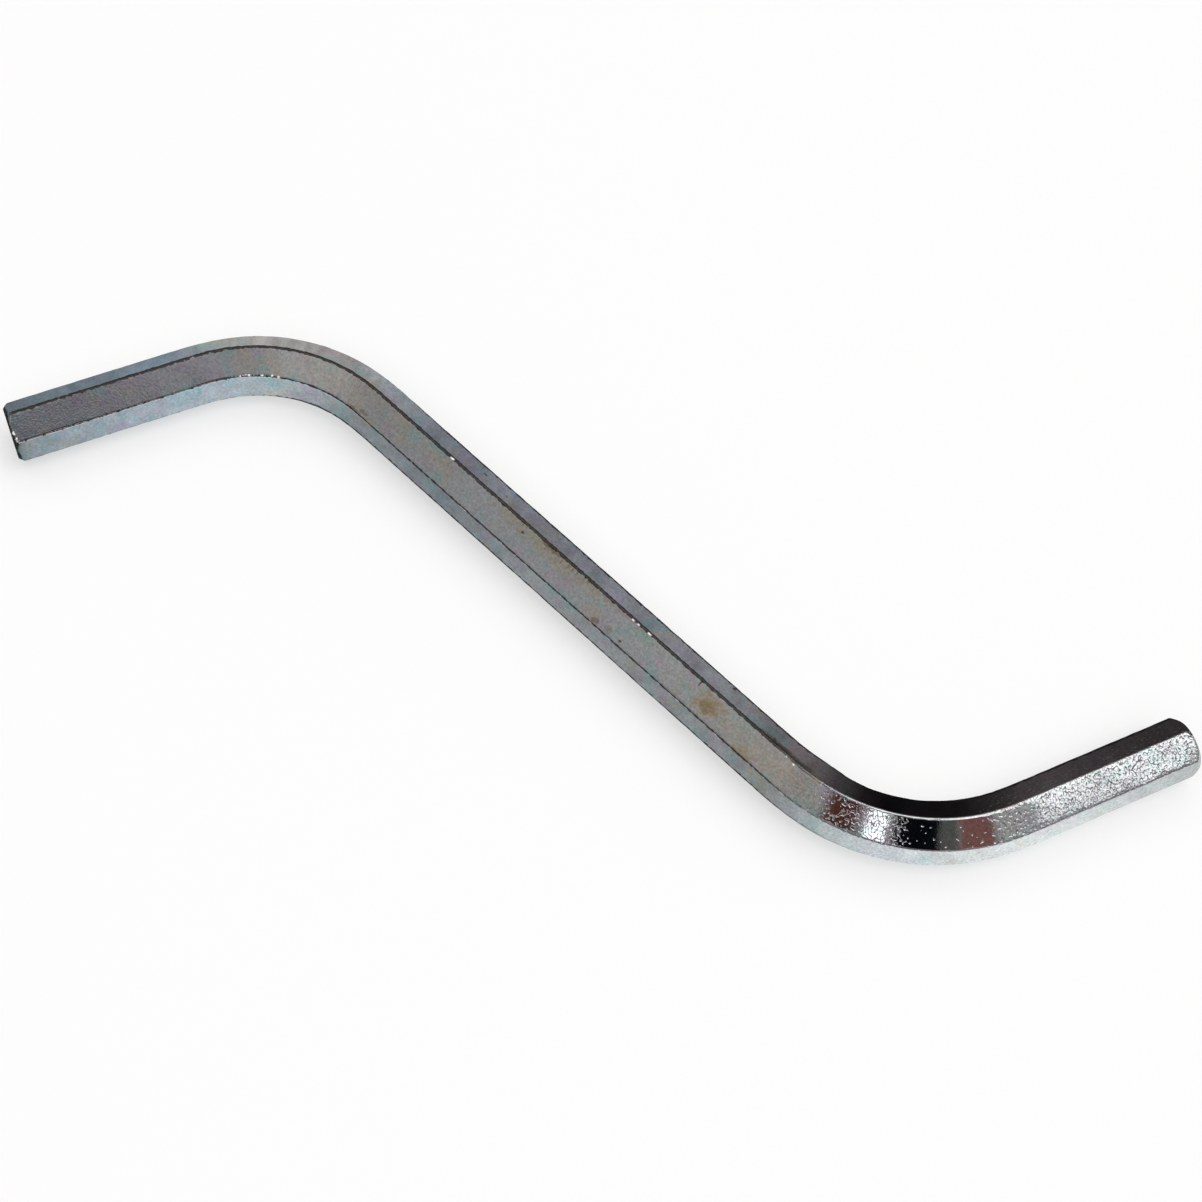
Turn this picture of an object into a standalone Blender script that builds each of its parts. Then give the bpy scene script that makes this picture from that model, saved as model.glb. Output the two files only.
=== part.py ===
"""Garbage disposal wrench: one length of hexagon bar, bent twice into a flat Z.

Metres, +Z up. The wrench lies as it would on a bench: the plane of its two bends is level, the shaft runs
along +X, the left leg leaves it towards -Y and the right leg towards +Y. The world origin is under the
middle of the wrench's box, on the bench.
"""
import math

import bmesh
import bpy
from mathutils import Matrix, Vector

MM = 0.001

# The bar: quarter inch hexagon, the size of the socket under a disposal's motor.
HEX_ACROSS_FLATS = 6.35 * MM
EDGE_RADIUS = 0.35 * MM
# Turn of the flats about the bar's own axis, away from the plane of the bends.
HEX_ROLL = math.radians(20.0)

# Straights and bends, measured along the bar's centreline from the left tip to the right tip.
LEFT_LEG_LENGTH = 23.5 * MM
LEFT_BEND_RADIUS = 20.0 * MM
LEFT_BEND_ANGLE = math.radians(64.6)
SHAFT_LENGTH = 66.9 * MM
RIGHT_BEND_RADIUS = 23.2 * MM
RIGHT_BEND_ANGLE = math.radians(67.2)
RIGHT_LEG_LENGTH = 22.1 * MM

# Both tips have their corners turned off on a cone that ends in a flat round face.
TIP_FACE_DIAMETER = 6.1 * MM
TIP_CHAMFER_ANGLE = math.radians(40.0)

# Facets: steps over one rounded edge, across one flat, and along one bend.
EDGE_STEPS = 2
FLAT_STEPS = 4
BEND_STEPS = 20

SIDES = 6
UP = Vector((0.0, 0.0, 1.0))

ZINC_COLOUR = (0.60, 0.62, 0.64, 1.0)
ZINC_ROUGHNESS = 0.3


def hexagon_outline():
    """The bar's section as (across, up) points, anticlockwise, seen looking back along the bar."""
    inner_corner = (HEX_ACROSS_FLATS / 2 - EDGE_RADIUS) / math.cos(math.pi / SIDES)
    turn = 2 * math.pi / SIDES
    edges = []
    for side in range(SIDES):
        # A corner sits half a turn past each flat, and its round edge turns from one flat to the next.
        corner = HEX_ROLL + math.pi / 2 + (side + 0.5) * turn
        centre = Vector((math.cos(corner), math.sin(corner))) * inner_corner
        angles = [corner + turn * (step / EDGE_STEPS - 0.5) for step in range(EDGE_STEPS + 1)]
        edges.append([centre + Vector((math.cos(a), math.sin(a))) * EDGE_RADIUS for a in angles])
    outline = []
    for edge, following in zip(edges, edges[1:] + edges[:1]):
        outline += edge
        outline += [edge[-1].lerp(following[0], step / FLAT_STEPS) for step in range(1, FLAT_STEPS)]
    return outline


def first_face_of(geometry):
    """The first face in a list of new geometry."""
    return next(item for item in geometry if isinstance(item, bmesh.types.BMFace))


def extrude_straight(bm, face, length, heading):
    """Push the bar's end face out along its heading, and return the new end face in its place."""
    end = first_face_of(bmesh.ops.extrude_face_region(bm, geom=[face])["geom"])
    bmesh.ops.delete(bm, geom=[face], context="FACES_ONLY")
    bmesh.ops.translate(bm, verts=end.verts, vec=heading * length)
    return end


def extrude_bend(bm, face, centre, angle):
    """Spin the bar's end face about an upright axis through a bend's centre, and return the new end face."""
    spun = bmesh.ops.spin(bm, geom=[face], cent=centre, axis=UP, angle=angle, steps=BEND_STEPS)
    bmesh.ops.delete(bm, geom=[face], context="FACES_ONLY")
    return first_face_of(spun["geom_last"])


def chamfer_tip(bm, face, middle, outward):
    """Turn a tip's corners off on a cone that meets the end face in a circle.

    Each point of the section moves back along the bar by its own height over that circle, divided by the
    cone's slope, so the cone runs out in a curve across every flat.
    """
    rim = list(face.verts)
    end = extrude_straight(bm, face, 0.0, outward)
    for vert in end.verts:
        vert.co = middle + (vert.co - middle).normalized() * (TIP_FACE_DIAMETER / 2)
    for vert in rim:
        height = (vert.co - middle).length - TIP_FACE_DIAMETER / 2
        vert.co -= outward * (height / math.tan(TIP_CHAMFER_ANGLE))


def bend_bar():
    """Sweep the section from tip to tip along leg, bend, shaft, bend and leg, with the shaft's middle at 0."""
    shaft_start = Vector((-SHAFT_LENGTH / 2, 0.0, 0.0))
    shaft_end = Vector((SHAFT_LENGTH / 2, 0.0, 0.0))
    left_centre = shaft_start - Vector((0.0, LEFT_BEND_RADIUS, 0.0))
    right_centre = shaft_end + Vector((0.0, RIGHT_BEND_RADIUS, 0.0))
    left_turn = Matrix.Rotation(LEFT_BEND_ANGLE, 3, UP)
    right_turn = Matrix.Rotation(RIGHT_BEND_ANGLE, 3, UP)
    shaft_heading = Vector((1.0, 0.0, 0.0))
    left_heading = left_turn @ shaft_heading
    right_heading = right_turn @ shaft_heading
    left_leg_end = left_centre + left_turn @ (shaft_start - left_centre)
    left_tip = left_leg_end - left_heading * LEFT_LEG_LENGTH
    right_leg_start = right_centre + right_turn @ (shaft_end - right_centre)
    right_tip = right_leg_start + right_heading * RIGHT_LEG_LENGTH

    bm = bmesh.new()
    across = UP.cross(left_heading)
    start = [bm.verts.new(left_tip + across * a + UP * b) for a, b in hexagon_outline()]
    end = extrude_straight(bm, bm.faces.new(start), LEFT_LEG_LENGTH, left_heading)
    end = extrude_bend(bm, end, left_centre, -LEFT_BEND_ANGLE)
    end = extrude_straight(bm, end, SHAFT_LENGTH, shaft_heading)
    end = extrude_bend(bm, end, right_centre, RIGHT_BEND_ANGLE)
    end = extrude_straight(bm, end, RIGHT_LEG_LENGTH, right_heading)
    chamfer_tip(bm, end, right_tip, right_heading)
    chamfer_tip(bm, bm.faces.new(start), left_tip, -left_heading)
    bmesh.ops.recalc_face_normals(bm, faces=bm.faces)
    return bm


def zinc_plating():
    """Bright zinc with a clear passivate: a pale, slightly blue, satin metal."""
    material = bpy.data.materials.new("zinc_plating")
    material.use_nodes = True
    shader = material.node_tree.nodes["Principled BSDF"]
    shader.inputs["Base Color"].default_value = ZINC_COLOUR
    shader.inputs["Metallic"].default_value = 1.0
    shader.inputs["Roughness"].default_value = ZINC_ROUGHNESS
    return material


def add_wrench():
    """The wrench as one object, with the bottom centre of its box on the world origin."""
    bm = bend_bar()
    lows = [min(vert.co[axis] for vert in bm.verts) for axis in range(3)]
    highs = [max(vert.co[axis] for vert in bm.verts) for axis in range(3)]
    mesh = bpy.data.meshes.new("bent_hex_bar")
    bm.to_mesh(mesh)
    bm.free()
    mesh.shade_smooth()
    mesh.set_sharp_from_angle(angle=math.radians(20.0))
    mesh.materials.append(zinc_plating())
    wrench = bpy.data.objects.new("bent_hex_bar", mesh)
    wrench.location = (-(lows[0] + highs[0]) / 2, -(lows[1] + highs[1]) / 2, -lows[2])
    bpy.context.scene.collection.objects.link(wrench)
    return wrench


for leftover in list(bpy.data.objects):
    bpy.data.objects.remove(leftover)
add_wrench()
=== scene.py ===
# %% [markdown]
# # A garbage disposal wrench
# A double-ended crank that frees a jammed disposal: one length of hexagon bar, bent twice into a
# flat Z, with both tips turned to a cone so that they slip into the socket under the motor. The
# steel is zinc plated, and the plating is bright enough to mirror whatever stands round it.
#
# The CAD model is loaded as a fixed frame. It has the true size and place, so this script keeps its
# box and makes what the solid leaves out: smooth round edges, the way a bend upsets the bar, small
# knocks, and zinc.

import bpy
import numpy as np
from mathutils import Matrix, Vector


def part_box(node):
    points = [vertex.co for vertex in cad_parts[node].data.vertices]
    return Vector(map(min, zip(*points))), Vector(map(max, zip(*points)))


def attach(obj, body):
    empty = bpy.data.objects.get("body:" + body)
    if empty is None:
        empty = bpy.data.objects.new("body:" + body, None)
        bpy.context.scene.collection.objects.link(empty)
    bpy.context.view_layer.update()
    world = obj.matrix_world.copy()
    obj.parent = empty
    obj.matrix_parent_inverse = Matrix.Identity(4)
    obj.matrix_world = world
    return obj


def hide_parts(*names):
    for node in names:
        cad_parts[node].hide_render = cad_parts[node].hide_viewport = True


MM = 0.001
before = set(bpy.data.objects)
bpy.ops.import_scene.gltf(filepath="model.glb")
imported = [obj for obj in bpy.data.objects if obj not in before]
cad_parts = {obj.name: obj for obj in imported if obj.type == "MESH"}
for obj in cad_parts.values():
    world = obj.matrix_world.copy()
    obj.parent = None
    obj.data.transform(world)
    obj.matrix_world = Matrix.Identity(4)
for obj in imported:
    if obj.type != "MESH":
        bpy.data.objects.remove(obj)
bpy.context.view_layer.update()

# %% [markdown]
# ## The route of the bar
# On the bench the bar is drawn straight, cut, and pressed round two formers, so its centreline is a
# leg, a bend, the shaft, a bend and a leg. A Blender curve with a bevel could follow that route,
# but it would give no say over the flats in the bends. Here the route is a formula instead: every
# point of the surface knows how far along the bar it lies, and the formula says where that is and
# which way the bar heads there.

# %% Straights and bends, from the left tip to the right tip
LEFT_LEG = 23.5 * MM
LEFT_BEND_RADIUS = 20.0 * MM
LEFT_BEND = np.radians(64.6)
SHAFT = 66.9 * MM
RIGHT_BEND_RADIUS = 23.2 * MM
RIGHT_BEND = np.radians(67.2)
RIGHT_LEG = 22.1 * MM

SHAFT_START = LEFT_LEG + LEFT_BEND_RADIUS * LEFT_BEND
RIGHT_BEND_START = SHAFT_START + SHAFT
RIGHT_LEG_START = RIGHT_BEND_START + RIGHT_BEND_RADIUS * RIGHT_BEND
BAR_LENGTH = RIGHT_LEG_START + RIGHT_LEG
print(f"the bar is {BAR_LENGTH / MM:.1f} mm long before it is bent")


def route(along):
    """Centreline x, y and heading at each distance along the bar from the left tip.

    Every stretch adds as much of itself as lies behind the point. A straight adds its length times
    its direction. The left arc, turning clockwise from heading a to b, adds its radius times
    (sin a - sin b, cos b - cos a). The right arc, turning anticlockwise from 0 to c, adds its
    radius times (sin c, 1 - cos c).
    """
    left_heading = LEFT_BEND - np.clip((along - LEFT_LEG) / LEFT_BEND_RADIUS, 0, LEFT_BEND)
    right_heading = np.clip((along - RIGHT_BEND_START) / RIGHT_BEND_RADIUS, 0, RIGHT_BEND)
    on_left_leg = np.minimum(along, LEFT_LEG)
    on_shaft = np.clip(along - SHAFT_START, 0, SHAFT)
    on_right_leg = np.maximum(along - RIGHT_LEG_START, 0)
    x = on_left_leg * np.cos(LEFT_BEND) + on_shaft + on_right_leg * np.cos(RIGHT_BEND)
    x += LEFT_BEND_RADIUS * (np.sin(LEFT_BEND) - np.sin(left_heading))
    x += RIGHT_BEND_RADIUS * np.sin(right_heading)
    y = on_left_leg * np.sin(LEFT_BEND) + on_right_leg * np.sin(RIGHT_BEND)
    y += LEFT_BEND_RADIUS * (np.cos(left_heading) - np.cos(LEFT_BEND))
    y += RIGHT_BEND_RADIUS * (1 - np.cos(right_heading))
    return x, y, left_heading + right_heading


# %% [markdown]
# ## The hexagon section
# Drawn hexagon bar has true flats and slightly rounded edges. A complex number is a handy point of
# the section: the real part is the distance across the bar and the imaginary part the height, and
# multiplying by exp(i a) turns the point by a. So one side is worked out once and turned six times.
# The bar wasn't clamped with a flat on top: the flats are rolled about 20 degrees, so the photo's
# view looks straight at one of them.

# %% One side of the hexagon, turned six times
HEX_ACROSS_FLATS = 6.35 * MM
EDGE_RADIUS = 0.35 * MM
HEX_ROLL = np.radians(20.0)
SIDES = 6
SIXTH = 2 * np.pi / SIDES
LOWEST_EDGE = HEX_ROLL + 4 * SIXTH
FLAT_STEPS = 10
HALF_EDGE_STEPS = 3


def hexagon():
    """Points round the section, their outward directions and their side numbers.

    A side is half a round edge, a flat, and half the next edge. An edge point is the edge's centre
    plus its radius in the outward direction. Points on the flat crowd towards its ends as the
    cosine does. A side number counts sides from the lowest edge, with the part of a side walked.
    """
    centre = (HEX_ACROSS_FLATS / 2 - EDGE_RADIUS) / np.cos(SIXTH / 2)
    turn = np.exp(1j * np.linspace(0, SIXTH / 2, HALF_EDGE_STEPS + 1))
    first_edge = centre + EDGE_RADIUS * turn
    next_turn = np.exp(1j * SIXTH) / turn[::-1]
    next_edge = centre * np.exp(1j * SIXTH) + EDGE_RADIUS * next_turn
    spread = (1 - np.cos(np.linspace(0, np.pi, FLAT_STEPS + 1)))[1:-1] / 2
    flat = first_edge[-1] + (next_edge[0] - first_edge[-1]) * spread
    points = np.concatenate([first_edge, flat, next_edge])
    outward = np.concatenate([turn, np.full(len(flat), turn[-1]), next_turn])
    walked = np.concatenate([[0], np.cumsum(np.abs(np.diff(points)))])
    sixths = np.exp(1j * (LOWEST_EDGE + SIXTH * np.arange(SIDES)))[:, None]
    side_number = np.arange(SIDES)[:, None] + walked[:-1] / walked[-1]
    return (points[:-1] * sixths).ravel(), (outward[:-1] * sixths).ravel(), side_number.ravel()


section, section_outward, section_side = hexagon()
print(f"{len(section)} points round the section, {np.ptp(section.real) / MM:.2f} mm wide")

# %% [markdown]
# ## What bending does to the bar
# On the inside of a bend the steel is pushed together and swells, and on the outside it is drawn
# out and thins. That tilts the flats a little through each bend, which is why their reflections run
# off there. The right bend was pressed harder where it starts, and its inner edge bulges by a
# quarter of a millimetre.

# %% Swelling inside the bends
UPSET = 0.25
BEND_EASE = 2.0 * MM
PRESS_BULGE = 0.25 * MM
PRESS_BULGE_AT = RIGHT_BEND_START + 3.0 * MM
PRESS_BULGE_LENGTH = 3.5 * MM


def smooth_step(value):
    """0 below 0, 1 above 1, and 3v² - 2v³ between them."""
    value = np.clip(value, 0, 1)
    return value * value * (3 - 2 * value)


def within(along, start, end):
    """1 between start and end along the bar, easing to 0 just outside them."""
    rising = smooth_step((along - start) / (2 * BEND_EASE) + 0.5)
    falling = smooth_step((end - along) / (2 * BEND_EASE) + 0.5)
    return rising * falling


def bend_upset(points, along):
    """Section points after bending.

    With curvature k, positive where the bar turns left, a point at distance a across moves by
    UPSET k a² / 2 towards the bend's centre, and its height grows by the factor 1 + UPSET k a.
    The press bulge adds a bell curve along the bar, strongest at the inner edge.
    """
    curvature = within(along, RIGHT_BEND_START, RIGHT_LEG_START) / RIGHT_BEND_RADIUS
    curvature -= within(along, LEFT_LEG, SHAFT_START) / LEFT_BEND_RADIUS
    across = points.real
    bell = np.exp(-((along - PRESS_BULGE_AT) / PRESS_BULGE_LENGTH) ** 2)
    bulge = PRESS_BULGE * bell * np.clip(across / (HEX_ACROSS_FLATS / 2), 0, 1) ** 2
    moved = across + UPSET * curvature * across**2 / 2 + bulge
    return moved + 1j * points.imag * (1 + UPSET * curvature * across)


mid_left_bend = LEFT_LEG + LEFT_BEND_RADIUS * LEFT_BEND / 2
inner_flat = np.array([-HEX_ACROSS_FLATS / 2 + 0j])
swelling = np.abs(bend_upset(inner_flat, mid_left_bend) - inner_flat)[0]
print(f"inside the left bend the steel swells by {swelling / MM:.2f} mm")


# %% [markdown]
# ## Knocks and waves
# Wrenches are plated tumbling in a barrel, where they knock against each other. The edges take the
# knocks, so they are never quite straight, and the flats end up faintly wavy. Blender's Displace
# modifier could do this, but a lattice of random numbers, blended smoothly, keeps it in the same
# arrays as the rest of the surface.

# %% Smooth random heights over the bar
FLAT_WAVE = 0.004 * MM
FLAT_WAVE_SPACING = 3.0 * MM
EDGE_KNOCK = 0.035 * MM
EDGE_KNOCK_SPACING = 0.8 * MM
EDGE_KNOCK_REACH = 0.07
CELLS_ROUND_BAR = 12


def blended(first, second, share):
    """The first value where the share is 0, the second where it is 1, and their mix between."""
    return first * (1 - share) + second * share


def lumps(along, side, spacing, cells_round, seed):
    """Random heights from -1 to 1.

    Random numbers stand on a lattice along and round the bar, and smooth steps blend the four of
    them round each point.
    """
    rows = int(BAR_LENGTH / spacing) + 3
    lattice = np.random.default_rng(seed).uniform(-1, 1, (rows, cells_round))
    row = np.clip(along / spacing, 0, rows - 2)
    cell = side / SIDES * cells_round
    low_row = np.floor(row).astype(int)
    low_cell = np.floor(cell).astype(int) % cells_round
    next_cell = (low_cell + 1) % cells_round
    up_rows = smooth_step(row - np.floor(row))
    round_cells = smooth_step(cell - np.floor(cell))
    low = blended(lattice[low_row, low_cell], lattice[low_row, next_cell], round_cells)
    high = blended(lattice[low_row + 1, low_cell], lattice[low_row + 1, next_cell], round_cells)
    return blended(low, high, up_rows)


def wear_height(along, side):
    """Height of the worn surface over the true one.

    Waves raise and lower the flats by the lumps times their height. Knocks take only the positive
    lumps, and lower the edges.
    """
    edge = np.abs(side - np.round(side))
    edge_only = smooth_step(1 - edge / EDGE_KNOCK_REACH)
    knocks = lumps(along, np.round(side) % SIDES, EDGE_KNOCK_SPACING, SIDES, seed=3)
    waves = lumps(along, side, FLAT_WAVE_SPACING, CELLS_ROUND_BAR, seed=8)
    return FLAT_WAVE * waves - EDGE_KNOCK * edge_only * np.clip(knocks, 0, 1)


print(f"edges are knocked by up to {EDGE_KNOCK / MM:.3f} mm, flats wave by {FLAT_WAVE / MM:.3f} mm")


# %% [markdown]
# ## The tips
# Each tip is turned to a shallow cone that leaves a round face. Cutting a cone from the mesh with a
# Boolean would leave ragged edges, so the cone is part of the grid: at every point round the
# section the last rows follow a small profile, from the flat, over the cone, to the face. Its two
# corners are softened with quadratic curves, as tumbling softens them.

# %% The profile of a tip
TIP_FACE_RADIUS = 3.05 * MM
TIP_CONE = np.radians(40.0)
TIP_SOFTENING = 0.08 * MM
CORNER_ROWS = 5
FACE_ROWS = 6


def soft_corner(before, corner, after):
    """Rows along the quadratic curve (1-t)² before + 2t(1-t) corner + t² after."""
    t = np.linspace(0, 1, CORNER_ROWS)[:, None]
    return (1 - t) ** 2 * before + 2 * t * (1 - t) * corner + t**2 * after


def tip_profile():
    """Rows from the flats to near the middle of the face.

    A point is its distance from the axis plus i times its depth from the tip.
    """
    radius = np.abs(section)
    flat_end = radius + 1j * (radius - TIP_FACE_RADIUS) / np.tan(TIP_CONE)
    face_rim = np.full(len(section), TIP_FACE_RADIUS + 0j)
    down_cone = (face_rim - flat_end) / np.abs(face_rim - flat_end)
    step = down_cone * TIP_SOFTENING
    flat_corner = soft_corner(flat_end + 1j * TIP_SOFTENING, flat_end, flat_end + step)
    rim_corner = soft_corner(face_rim - step, face_rim, face_rim - TIP_SOFTENING)
    face = rim_corner[-1] * np.linspace(1, 0, FACE_ROWS + 1)[1:-1, None]
    return np.concatenate([flat_corner, rim_corner, face])


tip_rows = tip_profile()
tip_depth = tip_rows.imag.max()
print(f"{len(tip_rows)} rows on each tip, the deepest {tip_depth / MM:.2f} mm from the end")

# %% [markdown]
# ## The swept surface
# Now the rows are put together: the left tip's rows, the rows along the flats, and the right tip's
# rows. Each row is a ring of section points at its own distance along the bar. The rings become a
# mesh of quads, closed at both ends by a fan of triangles, in one go and without a loop over
# points.

# %% Rings of the whole bar
ROW_SPACING = 0.2 * MM

flat_share = np.linspace(0, 1, int(BAR_LENGTH / ROW_SPACING))[1:-1, None] * np.ones(len(section))
flat_depth = tip_rows[0].imag
flat_along = flat_depth + flat_share * (BAR_LENGTH - 2 * flat_depth)
square_along = np.concatenate([tip_rows.imag[::-1], flat_along, BAR_LENGTH - tip_rows.imag])
flat_radius = np.abs(section) * np.ones_like(flat_share)
ring_radius = np.concatenate([tip_rows.real[::-1], flat_radius, tip_rows.real])
ring_points = ring_radius * section / np.abs(section)
ring_side = np.broadcast_to(section_side, square_along.shape)
print(f"{square_along.shape[0]} rings of {square_along.shape[1]} points")

# %% [markdown]
# The blank was cropped in a press, so its ends aren't quite square. The left one leans back at the
# top, and shows a sliver of its face from above. Leaning the rings moves points along the flats
# only, so the flats stay as they were.

# %% Leaning ends
LEFT_CUT_LEAN = np.tan(np.radians(3.0))
RIGHT_CUT_LEAN = np.tan(np.radians(1.5))

towards_right = np.clip((square_along - flat_depth) / (BAR_LENGTH - 2 * flat_depth), 0, 1)
lean = blended(LEFT_CUT_LEAN, RIGHT_CUT_LEAN, towards_right)
ring_along = square_along + lean * ring_points.imag
on_face = ring_radius < TIP_FACE_RADIUS - TIP_SOFTENING / 2
wear = np.where(on_face, 0, wear_height(ring_along, ring_side))
worn_points = ring_points + wear * section_outward
print(f"the ends lean by up to {np.abs(ring_along - square_along).max() / MM:.2f} mm")


# %% From section points to places
def place(points, along):
    """Points in space: the centreline, the across distance square to its heading, the height."""
    x, y, heading = route(along)
    bent = bend_upset(points, along)
    x = x - np.sin(heading) * bent.real
    y = y + np.cos(heading) * bent.real
    return np.stack([x, y, bent.imag], axis=-1)


def into_cad_box(points, true_points):
    """Points moved so that the true surface has the middle and the floor of the CAD bar's box."""
    low, high = (np.array(corner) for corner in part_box("bent_hex_bar"))
    true_low = true_points.min(axis=(0, 1))
    shift = (low + high) / 2 - (true_low + true_points.max(axis=(0, 1))) / 2
    shift[2] = low[2] - true_low[2]
    return points + shift, shift


rings, to_frame = into_cad_box(place(worn_points, ring_along), place(ring_points, square_along))
tip_middles = place(np.zeros(2, complex), np.array([0, BAR_LENGTH])) + to_frame
print("tip middles in mm:", np.round(tip_middles / MM, 2).tolist())


# %% The mesh of rings
UV_UNIT = 10 * MM


def add_ringed_mesh(name, rings, ends, along, side):
    """A closed mesh of quads between rings and a fan of triangles at each end.

    Its UV map holds the distance along the bar in centimetres, and the number of sides round it.
    """
    rows, around = rings.shape[:2]
    ring = np.arange(rows * around).reshape(rows, around)
    after = np.roll(ring, -1, axis=1)
    quads = np.stack([ring[:-1], after[:-1], after[1:], ring[1:]], axis=-1).reshape(-1, 4)
    first_end = np.full(around, rows * around)
    left_fan = np.stack([after[0], ring[0], first_end], axis=-1)
    right_fan = np.stack([ring[-1], after[-1], first_end + 1], axis=-1)
    mesh = bpy.data.meshes.new(name)
    faces = quads.tolist() + left_fan.tolist() + right_fan.tolist()
    mesh.from_pydata(np.concatenate([rings.reshape(-1, 3), ends]), [], faces)

    u = along / UV_UNIT
    v_after = np.append(side[0, 1:], SIDES) * np.ones_like(side)
    quad_u = np.stack([u[:-1], u[:-1], u[1:], u[1:]], axis=-1)
    quad_v = np.stack([side[:-1], v_after[:-1], v_after[1:], side[1:]], axis=-1)
    left_uv = np.stack([u[0], v_after[0], u[0], side[0], u[0], side[0]], axis=-1)
    right_uv = np.stack([u[-1], side[-1], u[-1], v_after[-1], u[-1], side[-1]], axis=-1)
    quad_uv = np.stack([quad_u, quad_v], axis=-1)
    uv = np.concatenate([quad_uv.ravel(), left_uv.ravel(), right_uv.ravel()])
    mesh.uv_layers.new(name="along_and_side").data.foreach_set("uv", uv.astype(np.float32))
    mesh.shade_smooth()
    return mesh


bar_mesh = add_ringed_mesh("zinc_plated_bar", rings, tip_middles, square_along, ring_side)
bar = bpy.data.objects.new("zinc_plated_bar", bar_mesh)
bpy.context.scene.collection.objects.link(bar)
bar_mesh.calc_loop_triangles()
print(f"{len(bar_mesh.loop_triangles)} triangles on the bar")

# %% [markdown]
# ## A short way to write shaders
# A node tree drawn by script soon becomes hard to read. This small class stands for one value in a
# tree, so a sum of values is written as a sum, and every other node is one call: its kind, its
# settings, its sockets.


# %% One value in a node tree
class Wire:
    """One output socket. Sums on wires add Math nodes, and node() adds any other node."""

    def __init__(self, tree, socket=None):
        self.tree = tree
        self.socket = socket

    def node(self, kind, settings=None, sockets=None, output=0):
        """Add a node: first its settings, such as a ramp's stops, then its values or links."""
        made = self.tree.nodes.new(kind)
        for name, value in (settings or {}).items():
            if name == "stops":
                stops = made.color_ramp.elements
                while len(stops) < len(value):
                    stops.new(0.5)
                for stop, (position, colour) in zip(stops, value):
                    stop.position = position
                    stop.color = (*colour, 1)
            else:
                setattr(made, name, value)
        for name, value in (sockets or {}).items():
            if isinstance(value, Wire):
                self.tree.links.new(value.socket, made.inputs[name])
            else:
                made.inputs[name].default_value = value
        return Wire(self.tree, made.outputs[output] if made.outputs else None)

    def maths(self, operation, first, second):
        """A Math node on two values."""
        return self.node("ShaderNodeMath", {"operation": operation}, {0: first, 1: second})

    def __add__(self, other):
        return self.maths("ADD", self, other)

    __radd__ = __add__

    def __sub__(self, other):
        return self.maths("SUBTRACT", self, other)

    def __rsub__(self, other):
        return self.maths("SUBTRACT", other, self)

    def __mul__(self, other):
        return self.maths("MULTIPLY", self, other)

    __rmul__ = __mul__

    def rise(self, low, high):
        """0 at low, 1 at high and a smooth step between; it falls where low is the greater."""
        ends = {"Value": self, "From Min": low, "From Max": high}
        return self.node("ShaderNodeMapRange", {"interpolation_type": "SMOOTHSTEP"}, ends)

    def mix(self, first, second):
        """The first colour where this value is 0, the second where it is 1."""
        first, second = (c if isinstance(c, Wire) else (*c, 1) for c in (first, second))
        sockets = {0: self, 6: first, 7: second}
        return self.node("ShaderNodeMix", {"data_type": "RGBA"}, sockets, output=2)

    def scaled(self, factor):
        """This colour or vector times a number."""
        return self.node("ShaderNodeVectorMath", {"operation": "SCALE"}, {0: self, "Scale": factor})


# %% [markdown]
# ## The zinc plating
# Bright zinc is a bluish silver metal. A thin clear film on it, the passivate, shows faint patches
# of straw, lilac and green. Close up the surface is finely pebbled, so a light breaks up into a
# sparkle, and there are small stains, dark pits and fine strokes. An image texture could hold all
# this, but noise on the bar's own coordinates has no seams and stays sharp from any distance.

# %% Coordinates on the bar
zinc = bpy.data.materials.new("zinc_plating")
zinc.use_nodes = True
zinc.node_tree.nodes.clear()
zinc_start = Wire(zinc.node_tree)
in_mm = zinc_start.node("ShaderNodeTexCoord", output="Object").scaled(1 / MM)
bar_uv = zinc_start.node("ShaderNodeUVMap", {"uv_map": "along_and_side"})
along_mm = bar_uv.node("ShaderNodeSeparateXYZ", {}, {0: bar_uv}, "X") * (UV_UNIT / MM)
side = bar_uv.node("ShaderNodeSeparateXYZ", {}, {0: bar_uv}, "Y")


def noise(per_mm, detail=2.0, roughness=0.5, shift=0.0):
    """Noise from 0 to 1, so many lumps to the millimetre; another shift gives another pattern."""
    moved = {0: in_mm, 1: (shift, shift, shift)}
    where = in_mm.node("ShaderNodeVectorMath", {"operation": "ADD"}, moved)
    sockets = {"Vector": where, "Scale": per_mm, "Detail": detail, "Roughness": roughness}
    return where.node("ShaderNodeTexNoise", {}, sockets)


# %% Colour patches in the passivate film
ZINC_SILVER = (0.63, 0.65, 0.67)
FILM_STRAW = (0.67, 0.61, 0.51)
FILM_LILAC = (0.64, 0.57, 0.68)
FILM_TEAL = (0.49, 0.67, 0.68)
PATCHES_ON_RIGHT_LEG = 0.4
PATCHES_ELSEWHERE = 0.8

left_of_pits = along_mm.rise(126, 112)
patch_strength = left_of_pits * (PATCHES_ELSEWHERE - PATCHES_ON_RIGHT_LEG) + PATCHES_ON_RIGHT_LEG
straw_patches = noise(0.16, detail=5, roughness=0.6, shift=10).rise(0.50, 0.66)
lilac_patches = noise(0.32, detail=5, roughness=0.6, shift=30).rise(0.49, 0.62)
teal_patches = noise(0.36, detail=5, roughness=0.6, shift=50).rise(0.50, 0.63)
film = (straw_patches * patch_strength).mix(ZINC_SILVER, FILM_STRAW)
film = (lilac_patches * patch_strength).mix(film, FILM_LILAC)
film = (teal_patches * patch_strength).mix(film, FILM_TEAL)
print(f"{len(zinc.node_tree.nodes)} nodes in the film")

# %% [markdown]
# Stains sit where drops dried on the flats. Each one is an ellipse on the bar's own coordinates,
# and strong noise frays it, so it reads as a stain and not as a spot of paint. The small dark ones
# are pits.

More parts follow.
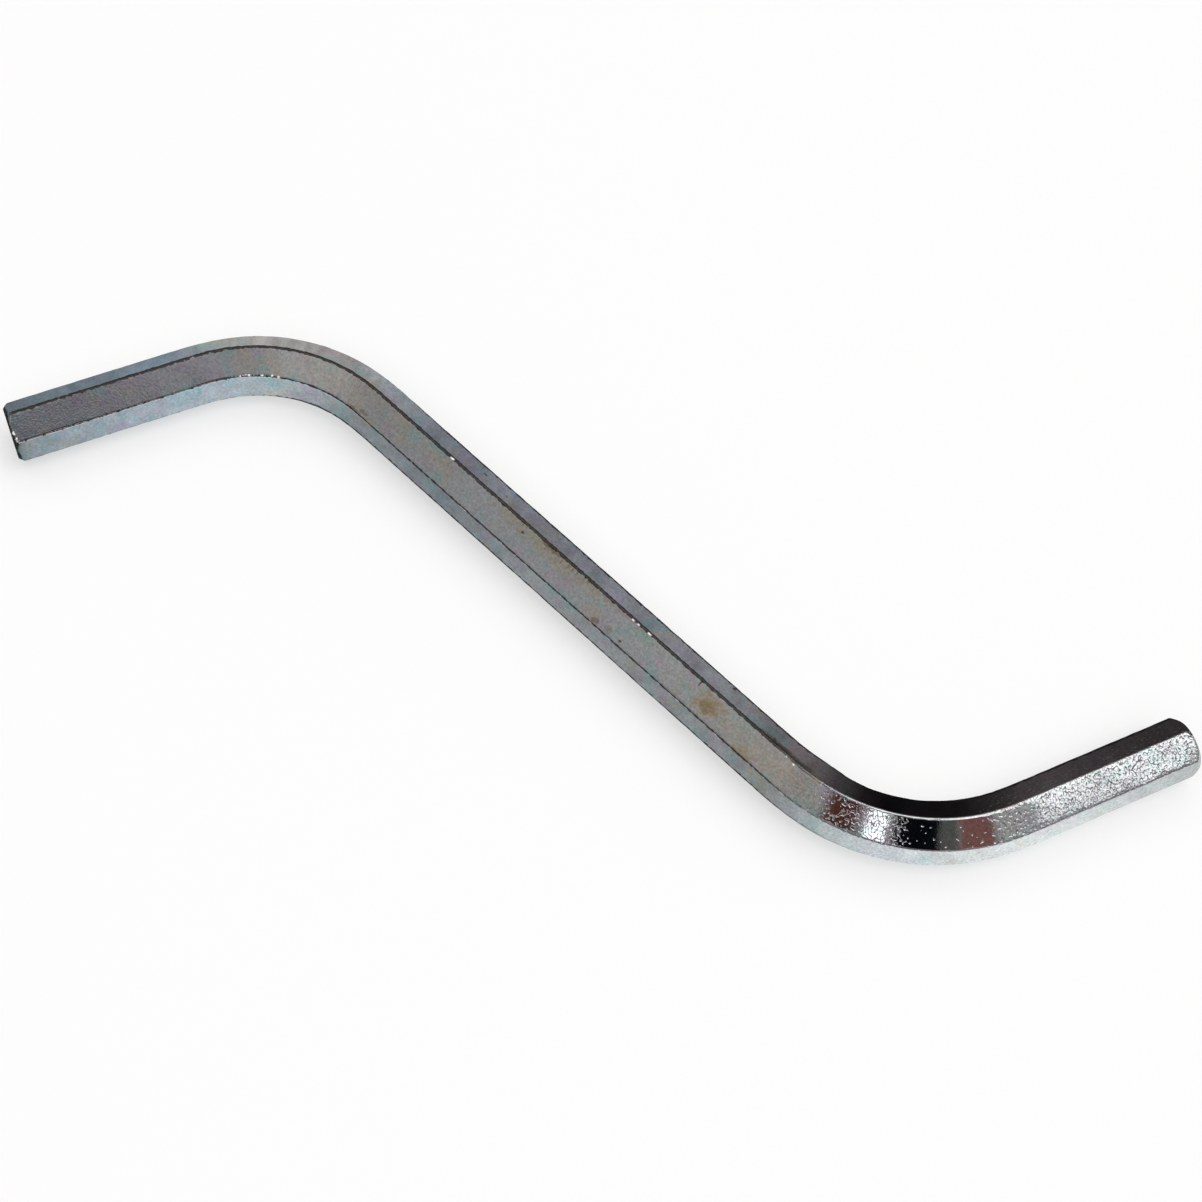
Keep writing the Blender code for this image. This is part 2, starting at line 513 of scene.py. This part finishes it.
# %% Stains and pits
SIDE_WIDTH = HEX_ACROSS_FLATS / np.sqrt(3)
TAN = (0.63, 0.575, 0.46)
OCHRE = (0.56, 0.46, 0.25)
RUST = (0.38, 0.27, 0.10)
BROWN = (0.30, 0.24, 0.17)
DARK_BROWN = (0.14, 0.11, 0.08)
GREEN = (0.46, 0.64, 0.55)
PINK = (0.60, 0.42, 0.42)
PIT = (0.05, 0.045, 0.04)
# Distance along the bar in mm, side number, half length and half width in mm, strength, colour.
STAINS = (
    (43.0, 3.4, 7.0, 1.6, 0.3, TAN),
    (75.5, 3.2, 8.0, 1.1, 0.8, TAN),
    (108.0, 3.55, 11.0, 1.6, 0.5, TAN),
    (89.8, 3.22, 1.6, 0.6, 0.8, GREEN),
    (101.0, 3.45, 1.9, 1.3, 0.7, OCHRE),
    (100.8, 3.55, 0.8, 0.7, 0.7, RUST),
    (107.3, 3.9, 1.2, 0.6, 0.7, OCHRE),
    (86.0, 3.1, 4.5, 0.2, 0.5, PINK),
    (46.5, 3.84, 0.7, 0.25, 0.7, BROWN),
    (45.2, 3.95, 1.2, 0.2, 0.8, BROWN),
    (84.5, 3.86, 0.5, 0.35, 0.7, BROWN),
    (86.4, 3.8, 0.5, 0.4, 0.4, BROWN),
    (75.0, 3.08, 1.6, 0.25, 0.8, BROWN),
    (108.5, 2.94, 2.4, 0.25, 0.9, BROWN),
    (111.5, 2.88, 3.6, 0.4, 0.8, DARK_BROWN),
    (98.5, 3.12, 0.1, 0.45, 0.8, PIT),
    (71.1, 3.30, 0.22, 0.15, 1.0, PIT),
    (88.3, 3.84, 0.18, 0.16, 1.0, PIT),
    (101.5, 2.18, 0.22, 0.22, 1.0, PIT),
    (62.5, 2.45, 0.3, 0.14, 0.9, PIT),
    (66.3, 2.6, 0.26, 0.16, 0.9, PIT),
)
FRAYING = 6.0
FRAYED_PAST = 0.5
STAIN_RIM = 1.8
fray = (noise(1.3, detail=5, roughness=0.65, shift=160) - 0.5) * FRAYING


def blot(at_along, at_side, half_length, half_width):
    """1 on a stain, 0 off it.

    The squares of the distances along and across, each over its half size, are added up and frayed.
    """
    along_off = (along_mm - at_along) * (1 / half_length)
    across_off = (side - at_side) * (SIDE_WIDTH / MM / half_width)
    squares = along_off * along_off + across_off * across_off
    return (squares + fray * squares.rise(0, FRAYED_PAST)).rise(STAIN_RIM, 0)


for at_along, at_side, half_length, half_width, strength, colour in STAINS:
    film = (blot(at_along, at_side, half_length, half_width) * strength).mix(film, colour)
print(f"{len(STAINS)} stains and pits")

# %% [markdown]
# By the strongest tan stain the bar was dragged over a gritty die, square to its upper crease,
# which left a comb of fine dark strokes. Noise drawn out on the UV map, fine along the bar and
# coarse across it, gives the strokes.

# %% Comb of strokes
STROKES_PER_CM = 40.0
STROKES_PER_SIDE = 1.5
STROKE_STRENGTH = 0.8
# Distance along the bar in mm, side number, half length and half width in mm.
COMB = (77.0, 3.1, 6.0, 0.6)
drawn_out = {0: bar_uv, 1: (STROKES_PER_CM, STROKES_PER_SIDE, 0.0)}
strokes_at = bar_uv.node("ShaderNodeVectorMath", {"operation": "MULTIPLY"}, drawn_out)
stroke_sockets = {"Vector": strokes_at, "Scale": 1.0, "Detail": 1.0}
strokes = strokes_at.node("ShaderNodeTexNoise", {}, stroke_sockets)
combed = strokes.rise(0.52, 0.66) * blot(*COMB)
film = (combed * STROKE_STRENGTH).mix(film, BROWN)
print(f"a comb of strokes, {STROKES_PER_CM:.0f} to the centimetre")

# %% Fine grain over all of it, in colour and in tone
GRAINS_PER_MM = 3.0
GRAIN_CONTRAST = 1.0
SPECK_STRENGTH = 0.3
specks = noise(GRAINS_PER_MM, detail=2, shift=140)
film = (specks.rise(0.54, 0.68) * SPECK_STRENGTH).mix(film, FILM_LILAC)
film = (specks.rise(0.46, 0.32) * SPECK_STRENGTH).mix(film, FILM_TEAL)
grain = noise(GRAINS_PER_MM, detail=3, roughness=0.6, shift=120)
film = film.scaled(grain * GRAIN_CONTRAST + (1 - GRAIN_CONTRAST / 2))
print(f"grains of {1 / GRAINS_PER_MM:.2f} mm")

# %% [markdown]
# Along the creases a ragged dark line is painted, from the left tip to the right bend: painted
# shade and painted dark reflection, for the dark surroundings and the shade beside the bar that the
# creases mirror. The upper one is wide, and the lower one is thin, and broken on the left leg. The
# two outer edges, seen along their slope, get a wider painted band, and the far one keeps it to the
# right tip.
# Side numbers are whole at the creases, so a triangle wave of them gives the distance. The left
# tip's cone is painted dark all round, a painted dark reflection.

# %% Painted shade in the creases and on the left tip
# Painted shade: the dark colour of the painted crease lines and of the left tip's cone.
CREASE_PAINTED_SHADE = (0.036, 0.025, 0.023)
PAINTED_SHADE_STRENGTH = 0.9
# How far in mm the painted shade reaches from a crease, how far noise moves its rim, and the share
# spared.
PAINTED_SHADE_REACH = 0.10
UPPER_CREASE_REACH = 0.27
LOWER_CREASE_REACH = 0.14
LOWER_CREASE_REACH_ON_LEG = 0.04
OUTER_EDGE_REACH = 0.45
RAGGEDNESS = 0.9
UPPER_CREASE_EVENNESS = 0.4
LOWER_CREASE_EVENNESS = 0.6
TIP_RAGGEDNESS = 0.4


def near_crease(number):
    """1 beside the crease with this side number, 0 beside the others."""
    return side.rise(number + 0.3, number + 0.2) * side.rise(number - 0.3, number - 0.2)


far_edge = near_crease(2)
upper_crease = near_crease(3)
lower_crease = near_crease(4)
near_edge = near_crease(5)
on_left_leg = along_mm.rise(40, 28)
off_left_leg = 1 - on_left_leg
from_crease = side.maths("PINGPONG", side, 0.5) * (SIDE_WIDTH / MM)

even = upper_crease * UPPER_CREASE_EVENNESS + lower_crease * LOWER_CREASE_EVENNESS
unevenness = (1 - even * off_left_leg) * RAGGEDNESS
ragged = from_crease + (noise(1.7, detail=4, roughness=0.6, shift=180) - 0.5) * unevenness
outer_edges = far_edge * along_mm.rise(44, 56) + near_edge * off_left_leg
ragged = ragged - outer_edges * (OUTER_EDGE_REACH - PAINTED_SHADE_REACH)
ragged = ragged - upper_crease * (UPPER_CREASE_REACH - PAINTED_SHADE_REACH)
ragged = ragged - lower_crease * off_left_leg * (LOWER_CREASE_REACH - PAINTED_SHADE_REACH)
ragged = ragged - lower_crease * on_left_leg * (LOWER_CREASE_REACH_ON_LEG - PAINTED_SHADE_REACH)
# The painted shade runs from the left tip to the right bend, and on the far edge to the right tip.
painted_shade_stretch = along_mm.rise(126, 108) + far_edge * along_mm.rise(126, 136)
painted_shade = ragged.rise(PAINTED_SHADE_REACH, PAINTED_SHADE_REACH / 3) * painted_shade_stretch * along_mm.rise(0.3, 0.9)

# The left tip's cone is painted dark all round, as painted dark reflection.
frayed_along = along_mm + (noise(2.5, detail=3, shift=200) - 0.5) * TIP_RAGGEDNESS
on_left_cone = frayed_along.rise(0.02, 0.08) * frayed_along.rise(0.4, 0.25)
painted_shade = painted_shade + on_left_cone * (1 - painted_shade)
film = (painted_shade * PAINTED_SHADE_STRENGTH).mix(film, CREASE_PAINTED_SHADE)
print(f"dirt reaches up to {OUTER_EDGE_REACH} mm from the creases")

# %% [markdown]
# A few tiny white spots on the creases and at the left tip are painted glints, painted highlights.
# They are rough and not metal, so they stay white from every side.

# %% Painted white glints
# Painted glints: the white of the painted highlight spots.
PAINTED_GLINT_WHITE = (0.9, 0.9, 0.88)
# Distance along the bar in mm, side number, half length and half width in mm.
PAINTED_GLINT_SPOTS = (
    (58.6, 3.03, 0.3, 0.12),
    (87.8, 3.05, 0.3, 0.12),
    (88.6, 3.05, 0.2, 0.1),
    (90.3, 3.04, 0.25, 0.08),
    (111.3, 3.06, 0.2, 0.09),
    (112.5, 3.1, 0.14, 0.09),
    (28.2, 3.98, 0.14, 0.12),
    (29.4, 3.97, 0.18, 0.13),
    (31.2, 3.97, 0.2, 0.13),
    (32.6, 3.96, 0.16, 0.12),
    (33.5, 3.97, 0.22, 0.13),
    (0.3, 3.66, 0.14, 0.22),
    (0.38, 3.86, 0.14, 0.2),
)
# The mask of the painted glints also takes the metal away there.
painted_glints = 0.0
for spot in PAINTED_GLINT_SPOTS:
    painted_glints = blot(*spot) + painted_glints
painted_glints = painted_glints.maths("MINIMUM", painted_glints, 1.0)
film = painted_glints.mix(film, PAINTED_GLINT_WHITE)
print(f"{len(PAINTED_GLINT_SPOTS)} spots of crust")

# %% [markdown]
# The whole bar is faintly pebbled. From the right bend on, where it hung lower in the bath, the
# plating is also pitted: flat between the pits, so it flashes white there, while the walls of the
# pits look elsewhere and show as dark grains. A stretch of the bend has only single pits. On the
# upper flat that stretch starts sooner and all pits are shallower. Pebbles and pits are a bump,
# because real ones would need millions of faces.

# %% Pebbles and pits
PEBBLES_PER_MM = 4.5
PEBBLE_HEIGHT_MM = 0.007
PEBBLES_LOST_TO_PITS = 0.7
PITS_PER_MM = 2.75
PIT_DEPTH_MM = 0.033
# A pit is where the noise is over a threshold, and its wall is where it is only a little over.
PIT_THRESHOLD = 0.495
PIT_WALL = 0.16
SPARSE_RAISES = 0.26
DENSE_LOWERS = 0.09
START_RAISES = 0.065
SPARSE_FROM_MM = 126
SOONER_ON_UPPER_FLAT_MM = 9
SHALLOWER_ON_UPPER_FLAT = 0.75

pitted = along_mm.rise(113, 119)
pebbles = noise(PEBBLES_PER_MM, detail=1, shift=70) * (1 - pitted * PEBBLES_LOST_TO_PITS)
on_upper_flat = side.rise(3.1, 2.9) * side.rise(1.9, 2.1)
sparse_from = SPARSE_FROM_MM - on_upper_flat * SOONER_ON_UPPER_FLAT_MM
sparse = along_mm.rise(sparse_from, sparse_from + 2) * along_mm.rise(138, 134)
dense = along_mm.rise(120.5, 122) * along_mm.rise(126.5, 125.5) * side.rise(2.9, 3.1)
start = along_mm.rise(121.5, 119)
threshold = sparse * SPARSE_RAISES - dense * DENSE_LOWERS + start * START_RAISES + PIT_THRESHOLD
pits = noise(PITS_PER_MM, detail=0, shift=210).rise(threshold, threshold + PIT_WALL) * pitted
pits = pits * (1 - on_upper_flat * SHALLOWER_ON_UPPER_FLAT)
height_mm = pebbles * PEBBLE_HEIGHT_MM - pits * PIT_DEPTH_MM
bump_sockets = {"Height": height_mm, "Distance": MM, "Strength": 1.0}
relief = zinc_start.node("ShaderNodeBump", {}, bump_sockets)
print(f"pebbles {PEBBLE_HEIGHT_MM} mm high and pits {PIT_DEPTH_MM} mm deep")

# %% The finish as a whole
LOWEST_ROUGHNESS = 0.025
ROUGHNESS_SPREAD = 0.05
# The painted shade lines are rougher too.
PAINTED_SHADE_ROUGHNESS = 0.4
# The painted glint spots are rough.
PAINTED_GLINT_ROUGHNESS = 0.6
roughness = noise(0.8, detail=3, shift=90) * ROUGHNESS_SPREAD + LOWEST_ROUGHNESS
roughness = roughness + painted_shade * PAINTED_SHADE_ROUGHNESS + painted_glints * PAINTED_GLINT_ROUGHNESS
shader = zinc_start.node(
    "ShaderNodeBsdfPrincipled",
    {},
    {"Base Color": film, "Metallic": 1 - painted_glints, "Roughness": roughness, "Normal": relief},
)
zinc_start.node("ShaderNodeOutputMaterial", {}, {"Surface": shader})
bar_mesh.materials.append(zinc)
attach(bar, "root")
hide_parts("bent_hex_bar")
print(f"{len(zinc.node_tree.nodes)} nodes in the plating")

# %% [markdown]
# ## The floor
# A plain pale sweep for the wrench to lie on. It takes the soft shadow under the bar, and the lower
# flats mirror it. Paper lit from behind looks whiter than lit paper alone, so half of what the
# camera and the reflections see of it near the wrench is a plain white glow, and far off all of it,
# so that no horizon shows. The glow lights nothing, and the shadow still shows.


# %% A pale floor
FLOOR_RADIUS = 3.0
FLOOR_CORNERS = 64
FLOOR_COLOUR = (0.96, 0.96, 0.96)
GLOW_SHARE = 0.5
# The glow's share grows from the first to the second distance from the middle.
GLOW_FADE = (0.12, 0.8)


def add_plain_mesh(name, corners):
    """One flat face on the given corners."""
    mesh = bpy.data.meshes.new(name)
    mesh.from_pydata(corners, [], [list(range(len(corners)))])
    made = bpy.data.objects.new(name, mesh)
    bpy.context.scene.collection.objects.link(made)
    return made


turn = np.linspace(0, 2 * np.pi, FLOOR_CORNERS, endpoint=False)
floor_rim = np.stack([np.cos(turn), np.sin(turn), np.zeros(FLOOR_CORNERS)], axis=-1) * FLOOR_RADIUS
floor = add_plain_mesh("floor", floor_rim.tolist())
paper = bpy.data.materials.new("floor_paper")
paper.use_nodes = True
paper.node_tree.nodes.clear()
paper_start = Wire(paper.node_tree)
lit_paper = paper_start.node("ShaderNodeBsdfDiffuse", {}, {"Color": (*FLOOR_COLOUR, 1)})
glow = paper_start.node("ShaderNodeEmission", {}, {"Color": (1, 1, 1, 1), "Strength": 1.0})
to_camera = paper_start.node("ShaderNodeLightPath", output="Is Camera Ray")
to_mirrors = paper_start.node("ShaderNodeLightPath", output="Is Glossy Ray")
floor_place = paper_start.node("ShaderNodeTexCoord", output="Object")
length = {"operation": "LENGTH"}
from_middle = floor_place.node("ShaderNodeVectorMath", length, {0: floor_place}, "Value")
glow_share = from_middle.rise(*GLOW_FADE) * (1 - GLOW_SHARE) + GLOW_SHARE
seen = (to_camera + to_mirrors) * glow_share
sweep = paper_start.node("ShaderNodeMixShader", {}, {0: seen, 1: lit_paper, 2: glow})
paper_start.node("ShaderNodeOutputMaterial", {}, {"Surface": sweep})
floor.data.materials.append(paper)
print("floor:", FLOOR_RADIUS, "m in radius")

# %% [markdown]
# ## What the plating mirrors
# A mirror shows its surroundings, so a bright metal needs a studio round it more than it needs
# lamps. The dome here is the world's colour by direction: dark, with pale ceilings over the near
# and far side and panels. Each panel is an ellipse, given by its compass direction, its height and
# its half sizes in degrees.

# %% Panels of the studio dome
DOME_DARK = (0.03, 0.025, 0.023)
# Azimuth, elevation, half width and half height in degrees, softness of the rim, colour.
PANELS = (
    (125, 60, 40, 24, 0.4, (0.34, 0.34, 0.35)),
    (-95, 62, 32, 34, 0.15, (0.33, 0.325, 0.32)),
    (8, 54, 14, 14, 0.3, (0.38, 0.39, 0.38)),
    (-117, 74, 9, 7, 0.6, (0.47, 0.44, 0.42)),
    (-25, 80, 14, 8, 0.5, (0.345, 0.335, 0.34)),
    (-42, 77, 4, 2.6, 0.6, (0.155, 0.15, 0.17)),
    (-15, 25, 22, 22, 0.5, (0.34, 0.29, 0.32)),
    (-73, 66, 3.7, 10, 0.4, (0.10, 0.036, 0.027)),
    (-54, 65.5, 2.2, 7, 0.1, (2.0, 2.0, 2.0)),
    (-33.5, 63, 5.3, 10, 0.12, (0.003, 0.0035, 0.005)),
    (-20, 61, 1.8, 10, 0.2, (0.10, 0.10, 0.09)),
    (-8.5, 58, 3.6, 10, 0.2, (0.22, 0.10, 0.085)),
    (10, 44, 16, 4, 0.4, (0.16, 0.13, 0.15)),
    (36, 65, 14.9, 14.9, 0.02, (1.6, 1.6, 1.56)),
    (110, 61, 22, 13, 0.15, (1.5, 1.48, 1.40)),
    (140, 24, 45, 14, 0.4, (0.24, 0.23, 0.22)),
    (-90, 10, 60, 13, 0.5, (0.30, 0.30, 0.31)),
    (180, 28, 15, 16, 0.3, (0.45, 0.46, 0.48)),
    (56, 22, 28, 20, 0.3, (0.50, 0.50, 0.48)),
)


def toward(azimuth, elevation):
    """The direction at these angles: azimuth from +X towards +Y, elevation above the floor."""
    a, e = np.radians([azimuth, elevation])
    return Vector((np.cos(e) * np.cos(a), np.cos(e) * np.sin(a), np.sin(e)))


world = bpy.data.worlds.new("studio")
world.use_nodes = True
world.node_tree.nodes.clear()
bpy.context.scene.world = world
world_start = Wire(world.node_tree)
direction = world_start.node("ShaderNodeTexCoord", output="Generated")


def part_along(axis):
    """How far the direction points along an axis: their dot product."""
    sockets = {0: direction, 1: axis}
    return direction.node("ShaderNodeVectorMath", {"operation": "DOT_PRODUCT"}, sockets, "Value")


def add_panel(under, azimuth, elevation, half_width, half_height, softness, colour):
    """An ellipse of colour on the dome, over what is under it.

    The direction's parts sideways and upward, each over the sine of its half size, are squared and
    added, which gives 1 on the rim. Softness is the share of the size that fades.
    """
    across = toward(azimuth + 90, 0) / np.sin(np.radians(half_width))
    upright = toward(azimuth + 180, 90 - elevation) / np.sin(np.radians(half_height))
    sideways = part_along(across)
    upward = part_along(upright)
    reach = sideways * sideways + upward * upward
    on_this_half = part_along(toward(azimuth, elevation)).rise(0, 0.01)
    inside = reach.rise((1 + softness) ** 2, (1 - softness) ** 2) * on_this_half
    return inside.mix(under, colour)


dome = DOME_DARK
for studio_panel in PANELS:
    dome = add_panel(dome, *studio_panel)
print(f"{len(PANELS)} panels on the dome")

# %% [markdown]
# No wall is quite even, so slow clouds of noise make the dome a little lighter and darker. The
# pebbled plating turns them into a fine mottle. The camera itself sees a pale backdrop instead of
# the dome.

# %% Clouds, and the backdrop
CLOUD_SCALE = 9.0
CLOUD_CONTRAST = 0.8
BACKDROP = (1.0, 1.0, 1.0)
cloud_sockets = {"Vector": direction, "Scale": CLOUD_SCALE, "Detail": 3.0}
clouds = direction.node("ShaderNodeTexNoise", {}, cloud_sockets)
dome = dome.scaled(clouds * CLOUD_CONTRAST + (1 - CLOUD_CONTRAST / 2))
seen_directly = world_start.node("ShaderNodeLightPath", output="Is Camera Ray")
sky = seen_directly.mix(dome, BACKDROP)
background = world_start.node("ShaderNodeBackground", {}, {"Color": sky, "Strength": 1.0})
world_start.node("ShaderNodeOutputWorld", {}, {"Surface": background})
print(f"{len(world.node_tree.nodes)} nodes in the studio")

# %% [markdown]
# ## Painted reflections beside the bar
# Two glowing cards follow the bar, and only reflections see them: the camera, soft light and
# shadows don't. They are painted reflections: the light set along each card decides what a flat
# mirrors there, pale on some stretches and near black on others. One lies behind the bar and stands
# up at its far edge, and one lies before it. Each shades off along the bar.

# %% A glowing card of painted reflection that follows the bar
CARD_RUNOUT = 60 * MM
CARD_ROWS = 300
SMEARS_PER_MM = 0.4


def only_in_reflections(card):
    """Hide a card from everything but glossy rays."""
    card.visible_camera = False
    card.visible_diffuse = False
    card.visible_shadow = False
    card.visible_transmission = False
    card.visible_volume_scatter = False


# The finish of a painted reflection: a glow that only reflections see.
def painted_reflection_finish(name, light, contrast):
    """A smeared finish that shades through the lights along the card.

    Each point of the card carries its share of the card's length, and a ramp turns that into light.
    """
    finish = bpy.data.materials.new(name)
    finish.use_nodes = True
    finish.node_tree.nodes.clear()
    start = Wire(finish.node_tree)
    share = start.node("ShaderNodeAttribute", {"attribute_name": "share"}, output="Fac")
    card_length = BAR_LENGTH + 2 * CARD_RUNOUT
    stops = [((at * MM + CARD_RUNOUT) / card_length, colour) for at, colour in light]
    place_mm = start.node("ShaderNodeTexCoord", output="Object").scaled(1 / MM)
    sockets = {"Vector": place_mm, "Scale": SMEARS_PER_MM, "Detail": 4.0, "Roughness": 0.7}
    smears = place_mm.node("ShaderNodeTexNoise", {}, sockets) * contrast + (1 - contrast / 2)
    tone = share.node("ShaderNodeValToRGB", {"stops": stops}, {0: share}).scaled(smears)
    glow = start.node("ShaderNodeEmission", {}, {"Color": tone, "Strength": 1.0})
    start.node("ShaderNodeOutputMaterial", {}, {"Surface": glow})
    return finish


def add_painted_reflection_card(name, across_mm, height_mm, light, contrast):
    """Sweep a section of (across, height) points along the bar's route, and past both tips."""
    share = np.linspace(0, 1, CARD_ROWS)[:, None]
    x, y, heading = route(share * (BAR_LENGTH + 2 * CARD_RUNOUT) - CARD_RUNOUT)
    across = np.array(across_mm) * MM
    points = np.empty((CARD_ROWS, len(across), 3))
    points[..., 0] = x + to_frame[0] - np.sin(heading) * across
    points[..., 1] = y + to_frame[1] + np.cos(heading) * across
    points[..., 2] = np.array(height_mm) * MM
    corner = np.arange(CARD_ROWS * len(across)).reshape(CARD_ROWS, -1)
    faces = np.stack([corner[:-1, :-1], corner[:-1, 1:], corner[1:, 1:], corner[1:, :-1]], axis=-1)
    mesh = bpy.data.meshes.new(name)
    mesh.from_pydata(points.reshape(-1, 3), [], faces.reshape(-1, 4).tolist())
    carried = np.repeat(share, len(across)).astype(np.float32)
    mesh.attributes.new("share", "FLOAT", "POINT").data.foreach_set("value", carried)
    mesh.materials.append(painted_reflection_finish(name, light, contrast))
    card = bpy.data.objects.new(name, mesh)
    bpy.context.scene.collection.objects.link(card)
    only_in_reflections(card)
    print(f"{name}: {len(mesh.polygons)} faces")


# %% The painted reflection behind the bar
# Distance along the bar in mm, and the painted reflection's light there.
BEHIND_PAINTED_REFLECTION = (
    (-8, (0.16, 0.18, 0.19)),
    (20, (0.27, 0.33, 0.38)),
    (30, (0.54, 0.53, 0.49)),
    (38, (0.45, 0.40, 0.385)),
    (44, (0.40, 0.43, 0.45)),
    (50, (0.27, 0.27, 0.31)),
    (102, (0.31, 0.31, 0.32)),
    (111, (0.18, 0.17, 0.165)),
    (117, (0.085, 0.075, 0.075)),
    (121.5, (0.018, 0.014, 0.015)),
    (126, (0.006, 0.005, 0.006)),
    (140, (0.014, 0.012, 0.012)),
    (146, (0.085, 0.071, 0.073)),
    (162, (0.046, 0.038, 0.039)),
)
# Its near-black stretch from about 120 mm paints the dark reflection on the upper flats of the
# right bend and leg.
add_painted_reflection_card("painted_reflection_behind", (2.0, 12.0, 12.0), (0.05, 0.05, 8.0), BEHIND_PAINTED_REFLECTION, contrast=1.5)

# %% The painted reflection before the bar
# Distance along the bar in mm, and the painted reflection's light there.
BEFORE_PAINTED_REFLECTION = (
    (-9, (0.03, 0.03, 0.03)),
    (-5, (0.15, 0.25, 0.25)),
    (-0.5, (0.15, 0.25, 0.25)),
    (1.5, (0.43, 0.48, 0.52)),
    (25, (0.62, 0.69, 0.74)),
    (34, (0.56, 0.60, 0.62)),
    (42, (0.34, 0.36, 0.37)),
    (58, (0.28, 0.30, 0.32)),
    (73, (0.37, 0.385, 0.385)),
    (112, (0.35, 0.36, 0.355)),
    (124, (0.83, 0.89, 0.89)),
    (141, (1.07, 1.10, 1.08)),
    (162, (0.72, 0.74, 0.71)),
)
add_painted_reflection_card("painted_reflection_before", (4.0, -20.0), (0.1, 0.1), BEFORE_PAINTED_REFLECTION, contrast=0.8)

# %% [markdown]
# ## Lamps
# A wide soft lamp overhead lights the floor, and a smaller one to the right gives the shadow a
# direction. The plating doesn't mirror them, because the dome's panels already stand for them.


# %% Two soft lamps
def add_soft_lamp(name, azimuth, elevation, distance, size, power):
    """A square lamp at these angles and this distance from the origin, facing it."""
    light = bpy.data.lights.new(name, "AREA")
    light.energy = power
    light.size = size
    lamp = bpy.data.objects.new(name, light)
    out = toward(azimuth, elevation)
    facing = out.to_track_quat("Z", "Y").to_matrix().to_4x4()
    lamp.matrix_world = Matrix.Translation(out * distance) @ facing
    lamp.visible_glossy = False
    lamp.visible_camera = False
    bpy.context.scene.collection.objects.link(lamp)


add_soft_lamp("overhead", 0, 90, distance=2.5, size=6.0, power=84.0)
add_soft_lamp("key", 36, 65, distance=1.2, size=0.6, power=1.5)
print("two lamps")

# %% [markdown]
# ## The camera
# The camera stands where the photograph was taken, found by fitting the bar's outline and creases.

# %% Camera
CAMERA_AIM = Vector((2.322, -0.152, 3.557)) * MM
CAMERA_DISTANCE = 262.5 * MM
CAMERA_AZIMUTH = -51.76
CAMERA_ELEVATION = 67.26
CAMERA_ROLL = 5.66
CAMERA_LENS = 67.66
CAMERA_SENSOR = 36.0
CAMERA_SEES_FROM = 10 * MM

camera = bpy.data.objects.new("camera", bpy.data.cameras.new("camera"))
camera.data.lens = CAMERA_LENS
camera.data.sensor_width = CAMERA_SENSOR
camera.data.clip_start = CAMERA_SEES_FROM
back = toward(CAMERA_AZIMUTH, CAMERA_ELEVATION)
upright = back.to_track_quat("Z", "Y").to_matrix().to_4x4()
roll = Matrix.Rotation(np.radians(CAMERA_ROLL), 4, "Z")
camera.matrix_world = Matrix.Translation(CAMERA_AIM + back * CAMERA_DISTANCE) @ upright @ roll
bpy.context.scene.collection.objects.link(camera)
bpy.context.scene.camera = camera
bpy.context.scene.view_settings.view_transform = "Standard"
print(f"the camera is {CAMERA_DISTANCE / MM:.0f} mm away, {CAMERA_ELEVATION:.0f} degrees up")

# %% The end
bpy.context.view_layer.update()
